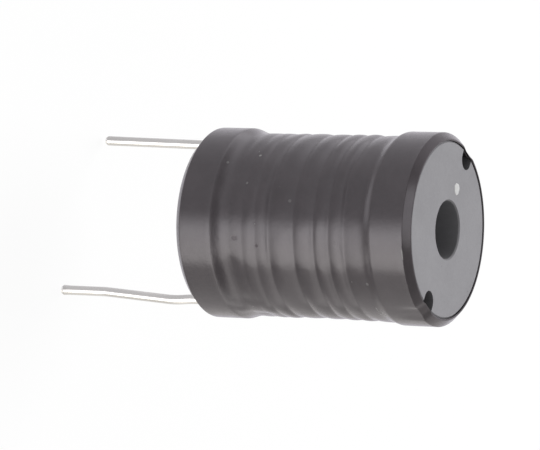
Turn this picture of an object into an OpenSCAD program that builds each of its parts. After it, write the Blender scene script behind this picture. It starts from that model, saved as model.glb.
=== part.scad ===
// Bobbin inductor: a wound drum core in a shrunk sleeve, with two wire leads.
// The frame is the core's: the origin is the centre of the screw hole in the core's lower
// end face, +Z runs up the hole, and the two leads lie on the X axis and point down.
// All lengths are in millimetres.

/* [Body] */
// Diameter over the sleeve where it grips the flanges
body_d = 16; // [15:0.1:22]
// Height over the sleeve's two lips
body_h = 21.3; // [16:0.1:32]

/* [Core] */
// Diameter of the screw hole through the core
hole_d = 4.8; // [3:0.1:5.5]
// Chamfer at both mouths of the screw hole
hole_chamfer = 0.12; // [0.05:0.01:0.3]
// Diameter of the post that carries the winding, as a share of the body's diameter
post_share = 0.5375; // [0.5:0.0025:0.58]
// Thickness of each flange
flange_t = 3.3; // [2.6:0.1:4]
// Chamfer of the outer flange rims, which the sleeve's lips lie on
rim_chamfer = 0.45; // [0.35:0.05:0.6]
// Rounding of the inner flange rims
rim_r = 0.4; // [0.2:0.05:0.8]
// Width of the notches in the flange rims
notch_w = 1.8; // [1.4:0.1:2.4]
// Depth of the notches, in from the rim
notch_depth = 1.75; // [1.6:0.05:2.2]
// Turn of the upper notches from the lower ones, in degrees
notch_turn = -4; // [-20:1:20]

/* [Sleeve] */
// Wall of the shrunk sleeve
sleeve_t = 0.35; // [0.2:0.05:0.6]
// Reach of each lip in over the chamfer, from the sleeve's outside
lip_reach = 0.7; // [0.6:0.02:0.8]
// Rise of each lip above the core's end face
lip_rise = 0.06; // [0.02:0.01:0.12]
// Leg of the bevel where the sleeve turns over a rim
turn_l = 0.55; // [0.45:0.01:0.6]
// Rounding of that bevel's two corners
turn_r = 0.15; // [0.05:0.01:0.2]
// Length of the slope from a flange band down to the waist
slope_l = 1.2; // [0.6:0.1:2]
// Depth of the waist's valleys below the flange bands
waist_dip = 0.45; // [0.3:0.05:0.7]
// Height of the ridges above the valleys
ridge_h = 0.16; // [0.05:0.01:0.25]

/* [Winding] */
// Diameter of the enamelled wire
wire_d = 0.36; // [0.2:0.02:0.5]
// Valleys between the banks of turns: share of the winding's length, share of the ridge height
bank_edges = [
    [0, 1], [0.13, 0.25], [0.205, 0.3], [0.295, 0.45], [0.39, 1],
    [0.535, 1], [0.64, 1], [0.745, 1], [0.85, 1], [1, 1]
];

/* [Leads] */
// Diameter of the lead wire
lead_d = 0.8; // [0.6:0.05:1]
// Reach of the straight lead below the sleeve
start_lead_l = 12.7; // [6:0.1:30]
// Reach of the bent lead below the sleeve
finish_lead_l = 13.1; // [11:0.1:30]
// Length that each lead lies along the winding, past its flange
root_l = 3.6; // [2.5:0.1:5]
// Outward tilt of the straight lead, in degrees
start_tilt = 1.2; // [0.4:0.2:4]
// Outward tilt of the bent lead where it leaves the sleeve, in degrees
exit_tilt = 6.5; // [1:0.5:10]
// Inward lean of the bent lead's middle stretch, in degrees
mid_lean = 4.2; // [1:0.2:10]
// Length of that middle stretch
mid_l = 5.8; // [2:0.1:7]
// Radius, along its centre line, of the bends below the sleeve
bend_r = 8; // [3:0.5:12]
// Diameter of the solder joints
joint_d = 1.15; // [1.1:0.05:1.3]

/* [Hidden] */

// Room between pieces that touch on the real part
fit_gap = 0.03;
// Room between a solder joint and the winding that it lies in
bed_gap = 0.06;
// Overshoot of a cut past the face that it opens
over = 1;
// Largest step along a curved profile
step = 0.2;
// Sides in a full turn
$fn = 96;

body_r = body_d / 2;
lip_r = body_r - lip_reach;
// Where the turn over a rim starts, in from the sleeve's outside and from its end
turn_start = turn_l + turn_r * tan(22.5);
// Room that the sleeve's wall takes
skin_t = sleeve_t + fit_gap;
core_h = body_h - 2 * lip_rise;
core_r = body_r - skin_t;
chamfer_r = core_r - rim_chamfer;
hole_r = hole_d / 2;
post_r = post_share * body_r;
top_flange_z = core_h - flange_t;
window = core_h - 2 * flange_t;
notch_r = core_r - notch_depth + notch_w / 2;

// Power that shapes the top of a bank: a lower one makes it flatter
bank_power = 0.6;
// Sleeve and winding share one profile of banks
bank_z = [for (edge = bank_edges) flange_t + edge[0] * window];
bank_swell = [for (z = heights()) [z, swell(z)]];
valley_r = body_r - waist_dip;
wind_valley_r = valley_r - skin_t;

// A lead leaves flush with the rim, then steps in to lie under the sleeve
lead_r = core_r - lead_d / 2;
root_r = wind_valley_r - joint_d / 2;
root_step = lead_r - root_r;
root_bend_r = 2 * lead_d;
// Straight set between two bends that follow each other
set_l = lead_d / 4;
// The two root bends and the set between them make up the step
root_reach = sqrt(pow(2 * root_bend_r, 2) + set_l * set_l);
root_bend = acos((2 * root_bend_r - root_step) / root_reach) - atan2(set_l, 2 * root_bend_r);
root_z = set_l * cos(root_bend) + 2 * root_bend_r * sin(root_bend) - lip_rise;
root_end = flange_t + root_l;
tip_chamfer = lead_d / 8;
bend_thinning = lead_d / 80;

// A joint covers the last part of a lead's root and closes over its end
joint_l = 0.6 * root_l;
joint_z = root_end - joint_l + joint_d / 4;
joint_end = joint_z + joint_l;
joint_edge = (joint_d - lead_d) / 3;
bed_end = joint_end + joint_d / 2;

// 0 to 1 along a soft step
function ease(t) = let (c = min(1, max(0, t))) c * c * (3 - 2 * c);

// Swell of the bank at height z: 1 in its middle, less in the valleys at its edges
function swell(z) = min([
    for (i = [0:len(bank_z) - 2])
        let (
            t = (z - bank_z[i]) / (bank_z[i + 1] - bank_z[i]),
            depth = (1 - t) * bank_edges[i][1] + t * bank_edges[i + 1][1]
        )
        t >= 0 && t <= 1 ? 1 - depth * (1 - pow(sin(180 * t), bank_power)) : 1
]);

// 0 on the flange bands, 1 along the waist
function waist(z) = ease((z - flange_t) / slope_l) * ease((top_flange_z - z) / slope_l);

// Outer radius of the sleeve between the flanges
function sleeve_r(z) = body_r - waist(z) * (waist_dip - ridge_h * swell(z));

// Heights up the winding's length, with every bank edge among them
function heights() = [
    for (i = [0:len(bank_z) - 2])
        let (n = ceil((bank_z[i + 1] - bank_z[i]) / step))
        for (k = [0:n - 1]) bank_z[i] + (bank_z[i + 1] - bank_z[i]) * k / n,
    bank_z[len(bank_z) - 1]
];

// Points on a circular arc, angles in degrees
function arc(centre, r, from, to, n = 4) = [
    for (k = [0:n])
        let (a = from + (to - from) * k / n)
        centre + r * [cos(a), sin(a)]
];

// The lower flange in section: its outer rim is chamfered, its inner rim rounded
module flange_profile() {
    polygon([
        [post_r, 0],
        [chamfer_r, 0],
        [core_r, rim_chamfer],
        [core_r, flange_t - rim_r],
        [core_r - rim_r, flange_t],
        [post_r, flange_t]
    ]);
    translate([core_r - rim_r, flange_t - rim_r])
        circle(rim_r);
}

module core_profile() {
    polygon([
        [hole_r + hole_chamfer, 0],
        [post_r, 0],
        [post_r, core_h],
        [hole_r + hole_chamfer, core_h],
        [hole_r, core_h - hole_chamfer],
        [hole_r, hole_chamfer]
    ]);
    flange_profile();
    translate([0, core_h])
        mirror([0, 1])
            flange_profile();
}

// U-shaped cut through one flange, open at its rim
module notch(z) {
    translate([notch_r, 0, z - over])
        cylinder(d = notch_w, h = flange_t + 2 * over);
    translate([notch_r, -notch_w / 2, z - over])
        cube([notch_depth + over, notch_w, flange_t + 2 * over]);
}

module ferrite_core() {
    color([0.56, 0.56, 0.58])
        difference() {
            rotate_extrude()
                core_profile();
            for (a = [0, 180]) {
                rotate([0, 0, a])
                    notch(0);
                rotate([0, 0, a + notch_turn])
                    notch(top_flange_z);
            }
        }
}

// The wound wire in section: its outside shows the turns of the last layer
module winding_profile() {
    low = flange_t + fit_gap;
    high = top_flange_z - fit_gap;
    turns = floor((high - low) / wire_d);
    pitch = (high - low) / turns;
    crest = [
        for (i = [0:turns - 1])
            for (t = [0, 0.25, 0.5, 0.75])
                let (
                    z = low + (i + t) * pitch,
                    crest_r = wind_valley_r + ridge_h * lookup(z, bank_swell)
                )
                [crest_r - wire_d / 2 * (1 - sin(180 * t)), z]
    ];
    polygon(concat(
        [[post_r + fit_gap, low]],
        crest,
        [[wind_valley_r - wire_d / 2, high], [post_r + fit_gap, high]]
    ));
}

// Bed that the turns leave for a lead's root and its joint, open to the outside
module root_bed() {
    bed_d = joint_d + 2 * bed_gap;
    translate([root_r, 0, flange_t - over])
        cylinder(d = bed_d, h = bed_end - flange_t + over);
    translate([root_r, -bed_d / 2, flange_t - over])
        cube([core_r - root_r, bed_d, bed_end - flange_t + over]);
}

// End of the wire, from the turns into a joint
module wire_end() {
    translate([root_r, 0, joint_end])
        cylinder(d = wire_d, h = bed_end - joint_end + wire_d);
}

module winding() {
    color([0.62, 0.3, 0.13]) {
        difference() {
            rotate_extrude()
                winding_profile();
            for (a = [0, 180])
                rotate([0, 0, a])
                    root_bed();
        }
        for (a = [0, 180])
            rotate([0, 0, a])
                wire_end();
    }
}

// Straight end of a lead, up +Z, with its cut edge chamfered
module lead_end(l) {
    r = lead_d / 2;
    rotate_extrude()
        polygon([[0, 0], [r, 0], [r, l - tip_chamfer], [r - tip_chamfer, l], [0, l]]);
}

// Bend of a lead that starts up +Z and leans to +X. It is drawn thinner by the bending,
// and its ends run a little way into the straight stretches.
module lead_bend(angle, r) {
    lap = 1;
    translate([r, 0, 0])
        rotate([90, 0, 180])
            rotate_extrude(angle = angle + 2 * lap, start = -lap)
                translate([r, 0])
                    circle(d = lead_d - 2 * bend_thinning);
}

// Lead wire that starts up +Z. Each leg is a straight length, then the angle and the radius
// of the bend that follows. A positive angle leans to +X. The last leg ends in a cut.
module lead_wire(legs, i = 0) {
    straight = legs[i][0];
    if (i == len(legs) - 1) {
        lead_end(straight);
    } else {
        angle = legs[i][1];
        r = legs[i][2];
        cylinder(d = lead_d, h = straight);
        translate([0, 0, straight]) {
            rotate([0, 0, angle < 0 ? 180 : 0])
                lead_bend(abs(angle), r);
            translate([sign(angle) * r * (1 - cos(angle)), 0, r * sin(abs(angle))])
                rotate([0, angle, 0])
                    lead_wire(legs, i + 1);
        }
    }
}

// Part of a lead inside the sleeve: it starts in the free length, steps in, then lies along
// the winding
module lead_root() {
    translate([0, 0, -set_l])
        lead_wire([
            [set_l, root_bend, root_bend_r],
            [set_l, -root_bend, root_bend_r],
            [root_end - root_z]
        ]);
}

// Places a lead's local frame: origin where it leaves the sleeve, +X towards the screw hole
module at_lead(a) {
    rotate([0, 0, a])
        translate([lead_r, 0, -lip_rise])
            rotate([0, 0, 180])
                children();
}

module start_lead() {
    // Depth at which the straight stretch starts
    tilt_z = set_l + bend_r * sin(start_tilt);
    color([0.8, 0.8, 0.8])
        at_lead(180) {
            lead_root();
            rotate([180, 0, 0])
                lead_wire([
                    [set_l, -start_tilt, bend_r],
                    [(start_lead_l - tilt_z) / cos(start_tilt)]
                ]);
        }
}

module finish_lead() {
    // Depth at which the last straight stretch starts
    end_z = set_l * (1 + cos(exit_tilt)) + 2 * bend_r * (sin(exit_tilt) + sin(mid_lean))
        + mid_l * cos(mid_lean);
    color([0.8, 0.8, 0.8])
        at_lead(0) {
            lead_root();
            rotate([180, 0, 0])
                lead_wire([
                    [set_l, -exit_tilt, bend_r],
                    [set_l, exit_tilt + mid_lean, bend_r],
                    [mid_l, -mid_lean, bend_r],
                    [finish_lead_l - end_z]
                ]);
        }
}

// Solder round the end of a lead's root, closed over the end
module solder_joint() {
    r = joint_d / 2;
    bore_r = lead_d / 2 + fit_gap;
    bore_end = root_end + fit_gap;
    translate([root_r, 0, 0])
        rotate_extrude()
            polygon([
                [bore_r, joint_z],
                [r - joint_edge, joint_z],
                [r, joint_z + joint_edge],
                [r, joint_end - joint_edge],
                [r - joint_edge, joint_end],
                [0, joint_end],
                [0, bore_end],
                [bore_r, bore_end]
            ]);
}

module start_joint() {
    color([0.7, 0.71, 0.72])
        rotate([0, 0, 180])
            solder_joint();
}

module finish_joint() {
    color([0.7, 0.71, 0.72])
        solder_joint();
}

// The sleeve's outside in section: over the rims, down the slopes and along the ridged waist
module sleeve_outside() {
    low = -lip_rise;
    high = core_h + lip_rise;
    polygon(concat(
        [[0, low]],
        arc([body_r - turn_start, low + turn_r], turn_r, -90, -45),
        arc([body_r - turn_r, low + turn_start], turn_r, -45, 0),
        [for (z = heights()) [sleeve_r(z), z]],
        arc([body_r - turn_r, high - turn_start], turn_r, 0, 45),
        arc([body_r - turn_start, high - turn_r], turn_r, 45, 90),
        [[0, high]]
    ));
}

// The sleeve's inside in section, which clears the core and the winding
module sleeve_inside() {
    // Set-back of a corner when both of its sides move out by the gap
    mitre = fit_gap * tan(22.5);
    polygon(concat(
        [[0, -fit_gap], [chamfer_r + mitre, -fit_gap], [core_r + fit_gap, rim_chamfer - mitre]],
        [for (z = heights()) [sleeve_r(z) - sleeve_t, z]],
        [
            [core_r + fit_gap, core_h - rim_chamfer + mitre],
            [chamfer_r + mitre, core_h + fit_gap],
            [0, core_h + fit_gap]
        ]
    ));
}

module sleeve_profile() {
    difference() {
        sleeve_outside();
        sleeve_inside();
        translate([0, -lip_rise - over])
            square([lip_r, body_h + 2 * over]);
    }
}

// The lower lip parts round each lead, and the upper lip sinks into each open notch
module sleeve() {
    color([0.13, 0.13, 0.14])
        difference() {
            rotate_extrude()
                sleeve_profile();
            for (a = [0, 180]) {
                rotate([0, 0, a])
                    translate([lead_r, 0, -lip_rise - over])
                        cylinder(d = lead_d + 2 * fit_gap, h = lip_rise + over + rim_chamfer);
                rotate([0, 0, a + notch_turn])
                    translate([notch_r, 0, core_h - rim_chamfer])
                        cylinder(d = notch_w - sleeve_t, h = rim_chamfer + lip_rise + over);
            }
        }
}

ferrite_core();
winding();
start_lead();
finish_lead();
start_joint();
finish_joint();
sleeve();
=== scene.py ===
import math

import bmesh
import bpy
from bpy.props import FloatProperty, FloatVectorProperty, IntProperty, PointerProperty
from mathutils import Matrix, Vector


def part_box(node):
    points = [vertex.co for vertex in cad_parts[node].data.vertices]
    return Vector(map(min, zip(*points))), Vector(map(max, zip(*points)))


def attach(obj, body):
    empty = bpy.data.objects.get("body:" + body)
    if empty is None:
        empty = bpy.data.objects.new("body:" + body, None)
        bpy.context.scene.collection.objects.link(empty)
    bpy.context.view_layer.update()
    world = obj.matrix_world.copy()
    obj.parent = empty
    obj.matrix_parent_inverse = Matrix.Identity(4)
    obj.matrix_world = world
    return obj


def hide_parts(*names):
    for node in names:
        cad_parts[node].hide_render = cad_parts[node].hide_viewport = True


bl_info = {
    "name": "Bobbin Inductor",
    "version": (1, 0, 0),
    "blender": (4, 5, 0),
    "location": "3D View > Sidebar > Inductor",
    "description": "Dresses the packed bobbin inductor and sets up its stage",
    "category": "Object",
}

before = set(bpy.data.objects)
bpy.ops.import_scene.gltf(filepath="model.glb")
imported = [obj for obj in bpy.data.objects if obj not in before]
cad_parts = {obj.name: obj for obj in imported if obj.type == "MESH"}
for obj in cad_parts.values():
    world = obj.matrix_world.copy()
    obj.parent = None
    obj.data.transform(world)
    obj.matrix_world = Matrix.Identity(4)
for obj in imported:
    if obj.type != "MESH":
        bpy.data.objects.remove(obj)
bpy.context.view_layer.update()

MM = 0.001
SLEEVE_LOW, SLEEVE_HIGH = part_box("sleeve")
CORE_LOW, CORE_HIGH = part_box("ferrite_core")
START_LOW, START_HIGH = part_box("start_lead")
FINISH_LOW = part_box("finish_lead")[0]
BODY_R = SLEEVE_HIGH.x

# Points of a mesh nearer to each other than this are one point
WELD = 1e-6
# Faces narrower than this are taken out
SLIVER = 1e-7

# Pale marks on the sleeve: wear, and in the first row a painted highlight along the upper rim.
# Angle in degrees and height of each mark, its reach round the sleeve and up it, and its
# strength. Lengths are in millimetres
WEAR_AND_HIGHLIGHT_MARKS = (
    # Painted highlight: a thin bright streak along the upper rim, the strongest mark
    (-49, 20.66, 0.45, 0.05, 1.0),
    (-111.5, 6.4, 0.11, 0.11, 0.8),
    (-104, 3.8, 0.13, 0.1, 0.35),
    (-90, 6.1, 0.11, 0.09, 0.4),
    (-79, 10.3, 0.15, 0.14, 0.25),
    (-28, 17, 0.14, 0.12, 0.35),
    (-5, 16.9, 0.35, 0.06, 0.5),
    (-2, 17.2, 0.25, 0.06, 0.55),
    (1, 17.2, 0.1, 0.4, 0.5),
)
DENT_MARKS = (
    (-55, 5.4, 0.22, 0.28, 0.55),
    (-50.5, 7.4, 0.15, 0.13, 0.75),
)
# A mark fades out between these shares of its reach
MARK_FADE = (0.6, 1.4)
# Colour of dust, of plastic that is rubbed pale, and of the painted highlight on the upper rim
PALE_AND_HIGHLIGHT = (0.34, 0.34, 0.33)


def length(name, description, millimetres):
    """A length property, in metres, whose default is given in millimetres."""
    return FloatProperty(
        name=name,
        description=description,
        default=millimetres * MM,
        precision=5,
        subtype="DISTANCE",
        unit="LENGTH",
    )


def angle(name, description, degrees):
    """An angle property whose default is given in degrees."""
    return FloatProperty(
        name=name,
        description=description,
        default=math.radians(degrees),
        subtype="ANGLE",
        unit="ROTATION",
    )


def share(name, description, value):
    """A plain factor."""
    return FloatProperty(name=name, description=description, default=value, subtype="FACTOR")


def colour(name, description, value):
    """A linear colour property."""
    return FloatVectorProperty(
        name=name, description=description, default=value, size=3, min=0, max=1, subtype="COLOR"
    )


class INDUCTOR_PG_sleeve(bpy.types.PropertyGroup):
    """Sizes and finish of the shrunk sleeve"""

    steps: IntProperty(name="Steps", description="Faces round the sleeve", default=288, min=48)
    wall: length("Wall", "Thickness of the shrunk wall", 0.35)
    lip_reach: length("Lip Reach", "Reach of each lip in over the rim's chamfer", 0.7)
    turn: length("Turn", "Bevel where the sleeve turns over a rim", 0.55)
    turn_r: length("Turn Radius", "Rounding of that bevel's two corners", 0.15)
    chamfer: length("Chamfer", "Chamfer of the flange rim that the lip lies on", 0.45)
    flange_t: length("Flange", "Thickness of the core's flanges", 3.3)
    slope: length("Slope", "Length of the slope from the lower flange band to the waist", 1.5)
    slope_lead: length("Slope Lead", "Start of that slope below the flange's inner face", 0.12)
    high_slope: length("Upper Slope", "Length of the slope from the upper flange band", 1.05)
    waist_dip: length("Waist Dip", "Depth of the valleys below the flange bands", 0.45)
    ridge_h: length("Ridge Height", "Height of the ridges above the valleys", 0.16)
    low_share: share("Low Share", "Height of the lowest ridges as a share of the others", 0.55)
    valley: length("Valley", "Rounding of the valleys between the ridges", 0.28)
    wander: length("Wander", "How far a ridge strays up and down on its way round", 0.16)
    sag: length("Sag", "Soft in and out of the waist", 0.04)
    lean: length("Lean", "How much deeper the waist is on one side", 0.07)
    lean_angle: angle("Lean Angle", "Direction in which the waist is deepest", 206.5)
    crease: length("Crease", "Height of the small uneven dimples", 0.012)
    lip_wave: length("Lip Wave", "How far the lips' cut edges stray outwards", 0.06)
    lead_swell: length("Lead Swell", "Height of the swell over each lead's root", 0.13)
    root_end: length("Root End", "Height at which the leads' roots end", 6.9)
    hollow: length("Hollow", "Depth of the hollow beside the bent lead's root", 0.13)
    hollow_angle: angle("Hollow Angle", "Direction of that hollow", 341)
    notch_w: length("Notch Width", "Width of the notches in the flanges", 1.8)
    notch_turn: angle("Notch Turn", "Turn of the upper notches from the leads", -4)
    notch_sink: length("Notch Sink", "How far the upper lip sinks into each notch", 0.22)
    notch_draw: length("Notch Draw", "How far the lip's edge draws back at each notch", 0.25)
    notch_dent: length("Notch Dent", "Depth of the dent in the rim at each notch", 0.2)
    tint: colour("Colour", "Colour of the plastic", (0.071, 0.0605, 0.066))


class INDUCTOR_PG_core(bpy.types.PropertyGroup):
    """Finish of the ferrite core"""

    edge_r: length("Edge Radius", "Rounding of the core's edges", 0.05)
    tint: colour("Colour", "Colour of the ferrite", (0.262, 0.259, 0.27))
    dot_d: length("Dot Diameter", "Diameter of the white dot", 1.0)
    dot_x: length("Dot X", "Place of the dot along X", -3.73)
    dot_y: length("Dot Y", "Place of the dot along Y", -0.05)
    ink: colour("Ink", "Colour of the dot", (0.64, 0.64, 0.635))


class INDUCTOR_PG_leads(bpy.types.PropertyGroup):
    """Route and finish of the two leads"""

    wire_d: length("Wire Diameter", "Diameter of the tinned wire", 0.8)
    sides: IntProperty(name="Sides", description="Faces round the wire", default=32, min=8)
    inset: length("Inset", "Gap from the body's outside to the wire", 0.38)
    start_tilt: angle("Start Tilt", "Outward tilt of the straight lead", 1.2)
    set_l: length("Set", "Straight set between two bends", 0.2)
    bend_r: length("Bend Radius", "Radius of the bends below the sleeve", 8)
    exit_tilt: angle("Exit Tilt", "Outward tilt of the bent lead at the sleeve", 6.5)
    mid_lean: angle("Middle Lean", "Inward lean of the bent lead's middle", 4.2)
    mid_l: length("Middle Length", "Length of the bent lead's middle stretch", 5.8)
    root_step: length("Root Step", "Step in from the free length to the root", 0.625)
    root_bend_r: length("Root Bend Radius", "Radius of the two bends inside the sleeve", 1.6)
    pinch: share("Pinch", "Flattening of the cut ends by the cutters", 0.16)
    pinch_l: length("Pinch Length", "Length of the flattened ends", 0.45)
    pinch_angle: angle("Pinch Angle", "Direction in which the cut ends spread", 26.5)
    tint: colour("Colour", "Colour of the tin", (0.59, 0.59, 0.555))


class INDUCTOR_PG_stage(bpy.types.PropertyGroup):
    """Camera and light"""

    lens: FloatProperty(
        name="Lens", description="Focal length", default=253.33, subtype="DISTANCE_CAMERA"
    )
    target: FloatVectorProperty(
        name="Target",
        description="Point that the camera looks at",
        default=(0.07 * MM, 0.06 * MM, 4.89 * MM),
        size=3,
        precision=5,
        subtype="TRANSLATION",
        unit="LENGTH",
    )
    distance: length("Distance", "Distance from that point to the camera", 318.7)
    azimuth: angle("Azimuth", "Direction of the camera, from -Y towards +X", 25.64)
    elevation: angle("Elevation", "Height of the camera above the horizon", 26.47)
    roll: angle("Roll", "Turn of the camera about its own axis", 91.92)
    fill: share("Fill", "Brightness of the surroundings", 0.36)
    key: FloatProperty(
        name="Key", description="Power of the large lamp", default=1.85, unit="POWER"
    )
    panel: share("Panel", "Brightness of the light panel, as it shows in gloss", 4.3)
    shade: share("Shade", "Brightness of the shaded side, as it shows in gloss", 1.0)
    bounce: share("Bounce", "Brightness beyond the panel, as it shows in gloss", 1.35)
    back: share("Back", "Brightness of the far side, as it shows in gloss", 1.05)
    overhead: share("Overhead", "Brightness of the light overhead, as it shows in gloss", 1.9)


class Wiring:
    """Adds nodes to one tree and joins their sockets."""

    def __init__(self, tree):
        self.tree = tree

    def feed(self, socket, value):
        """Links an output to a socket, or sets the socket's own value."""
        if isinstance(value, bpy.types.NodeSocket):
            self.tree.links.new(value, socket)
        else:
            socket.default_value = value

    def node(self, kind, inputs=None, **settings):
        """A new node with its settings made, and its inputs fed by name or number."""
        made = self.tree.nodes.new(kind)
        for name, value in settings.items():
            setattr(made, name, value)
        for key, value in (inputs or {}).items():
            self.feed(made.inputs[key], value)
        return made

    def math(self, operation, *values):
        """What an operation on plain values gives."""
        made = self.node("ShaderNodeMath", dict(enumerate(values)), operation=operation)
        return made.outputs[0]

    def vector_math(self, operation, *values):
        """What an operation on vectors gives: a vector, or a plain value that measures them."""
        made = self.node("ShaderNodeVectorMath", dict(enumerate(values)), operation=operation)
        return made.outputs["Value" if operation in ("LENGTH", "DOT_PRODUCT") else "Vector"]

    def total(self, *values):
        """The sum of several values."""
        result = values[0]
        for value in values[1:]:
            result = self.math("ADD", result, value)
        return result

    def product(self, *values):
        """The product of several values."""
        result = values[0]
        for value in values[1:]:
            result = self.math("MULTIPLY", result, value)
        return result

    def weighted(self, *terms):
        """The sum of several values, each times its weight."""
        return self.total(*(self.product(value, weight) for value, weight in terms))

    def vector(self, x, y, z):
        """A vector from its three parts."""
        return self.node("ShaderNodeCombineXYZ", {"X": x, "Y": y, "Z": z}).outputs[0]

    def split(self, vector):
        """The three parts of a vector."""
        return self.node("ShaderNodeSeparateXYZ", {0: vector}).outputs

    def here(self):
        """The place on a surface, in the piece's own frame."""
        return self.node("ShaderNodeTexCoord").outputs["Object"]

    def position(self):
        """The place of each point in a geometry tree."""
        return self.node("GeometryNodeInputPosition").outputs[0]

    def step(self, value, low, high):
        """0 below low, 1 above high, with a soft rise between them."""
        made = self.node(
            "ShaderNodeMapRange",
            {"Value": value, "From Min": low, "From Max": high},
            interpolation_type="SMOOTHSTEP",
        )
        return made.outputs[0]

    def fall(self, value, low, high):
        """1 below low, 0 above high, with a soft fall between them."""
        return self.math("SUBTRACT", 1.0, self.step(value, low, high))

    def noise(self, vector, scale, detail=2.0, roughness=0.5):
        """Cloudy noise from 0 to 1."""
        made = self.node(
            "ShaderNodeTexNoise",
            {"Vector": vector, "Scale": scale, "Detail": detail, "Roughness": roughness},
        )
        return made.outputs[0]


def new_tree(name, kind, inputs, outputs):
    """A node tree with named sockets. Each socket is a name, a type and a default or None."""
    tree = bpy.data.node_groups.new(name, kind)
    for side, sockets in (("INPUT", inputs), ("OUTPUT", outputs)):
        for label, socket_type, default in sockets:
            made = tree.interface.new_socket(name=label, in_out=side, socket_type=socket_type)
            if default is not None:
                made.default_value = default
    return tree


def run_tree(piece, tree, values):
    """Runs a geometry tree on a piece and keeps the result as its plain mesh."""
    modifier = piece.modifiers.new(tree.name, "NODES")
    modifier.node_group = tree
    for item in tree.interface.items_tree:
        if item.item_type == "SOCKET" and item.in_out == "INPUT" and item.name in values:
            modifier[item.identifier] = values[item.name]
    settle(piece)


def settle(piece):
    """Turns a piece with its modifiers into a plain mesh."""
    depsgraph = bpy.context.evaluated_depsgraph_get()
    mesh = bpy.data.meshes.new_from_object(piece.evaluated_get(depsgraph))
    mesh.name = piece.name
    piece.modifiers.clear()
    piece.data = mesh


def add_piece(name, mesh):
    """A new object in the scene for a mesh."""
    piece = bpy.data.objects.new(name, mesh)
    bpy.context.scene.collection.objects.link(piece)
    return piece


def chain_mesh(name, points, attributes=None):
    """A mesh of points joined in a row, with named values on the points."""
    mesh = bpy.data.meshes.new(name)
    mesh.from_pydata(points, [(i, i + 1) for i in range(len(points) - 1)], [])
    for label, values in (attributes or {}).items():
        mesh.attributes.new(label, "FLOAT", "POINT").data.foreach_set("value", values)
    return mesh


# Shared effects


def group_of(name, build):
    """A shader group, built the first time it is asked for."""
    return bpy.data.node_groups.get(name) or build(name)


def build_mottle(name):
    """Cloudy noise, stretched along the axes."""
    tree = new_tree(
        name,
        "ShaderNodeTree",
        [
            ("Scale", "NodeSocketFloat", 1000.0),
            ("Stretch", "NodeSocketVector", (1.0, 1.0, 1.0)),
            ("Detail", "NodeSocketFloat", 3.0),
            ("Low", "NodeSocketFloat", 0.0),
            ("High", "NodeSocketFloat", 1.0),
        ],
        [("Value", "NodeSocketFloat", None)],
    )
    w = Wiring(tree)
    given = w.node("NodeGroupInput").outputs
    stretched = w.node("ShaderNodeMapping", {"Vector": w.here(), "Scale": given["Stretch"]})
    cloud = w.noise(stretched.outputs[0], given["Scale"], given["Detail"], roughness=0.55)
    spread = w.node(
        "ShaderNodeMapRange",
        {
            "Value": cloud,
            "From Min": 0.3,
            "From Max": 0.7,
            "To Min": given["Low"],
            "To Max": given["High"],
        },
    )
    w.node("NodeGroupOutput", {"Value": spread.outputs[0]})
    return tree


def build_specks(name):
    """Small scattered specks, such as dust and pits."""
    tree = new_tree(
        name,
        "ShaderNodeTree",
        [
            ("Scale", "NodeSocketFloat", 1200.0),
            ("Size", "NodeSocketFloat", 0.12),
            ("Density", "NodeSocketFloat", 0.1),
        ],
        [("Mask", "NodeSocketFloat", None)],
    )
    w = Wiring(tree)
    given = w.node("NodeGroupInput").outputs
    place = w.here()
    # Fine noise pushes the cells about, so that each speck has a ragged edge
    fine = w.math("MULTIPLY", given["Scale"], 4)
    ragged = w.node("ShaderNodeTexNoise", {"Vector": place, "Scale": fine}).outputs["Color"]
    centred = w.vector_math("SUBTRACT", ragged, (0.5, 0.5, 0.5))
    scaled = w.node("ShaderNodeVectorMath", {0: place, "Scale": given["Scale"]}, operation="SCALE")
    pushed = w.vector_math("MULTIPLY_ADD", centred, (0.35, 0.35, 0.35), scaled.outputs[0])
    cells = w.node("ShaderNodeTexVoronoi", {"Vector": pushed, "Scale": 1.0}).outputs
    # A few of the cells hold a speck, and their specks differ in size
    chance = w.node("ShaderNodeSeparateColor", {0: cells["Color"]}).outputs
    kept = w.math("LESS_THAN", chance[0], given["Density"])
    size = w.math("MULTIPLY", given["Size"], w.math("ADD", chance[1], 0.3))
    near = w.fall(cells["Distance"], w.math("MULTIPLY", size, 0.5), size)
    w.node("NodeGroupOutput", {"Mask": w.math("MULTIPLY", kept, near)})
    return tree


def build_hoops(name):
    """Fine streaks that run round the Z axis."""
    tree = new_tree(
        name,
        "ShaderNodeTree",
        [("Turns", "NodeSocketFloat", 3.0), ("Rise", "NodeSocketFloat", 4000.0)],
        [("Value", "NodeSocketFloat", None)],
    )
    w = Wiring(tree)
    given = w.node("NodeGroupInput").outputs
    place = w.here()
    flat = w.vector_math("MULTIPLY", place, (1, 1, 0))
    turned = w.split(w.vector_math("NORMALIZE", flat))
    along = w.vector(
        w.math("MULTIPLY", turned["X"], given["Turns"]),
        w.math("MULTIPLY", turned["Y"], given["Turns"]),
        w.math("MULTIPLY", w.split(place)["Z"], given["Rise"]),
    )
    w.node("NodeGroupOutput", {"Value": w.noise(along, 1.0, detail=3.0, roughness=0.55)})
    return tree


def finish(name, **principled):
    """A material with its shader's plain values set, and the wiring for the rest."""
    material = bpy.data.materials.new(name)
    material.use_nodes = True
    w = Wiring(material.node_tree)
    shader = material.node_tree.nodes["Principled BSDF"]
    for label, value in principled.items():
        shader.inputs[label.replace("_", " ")].default_value = value
    return material, w, shader


def effect(w, name, build, **values):
    """Places a shared effect in a material, with its own values."""
    made = w.node("ShaderNodeGroup", node_tree=group_of(name, build))
    for label, value in values.items():
        made.inputs[label].default_value = value
    return made.outputs[0]


def mottle(w, **values):
    """Clouding that varies a finish."""
    return effect(w, "Mottle", build_mottle, **values)


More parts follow.
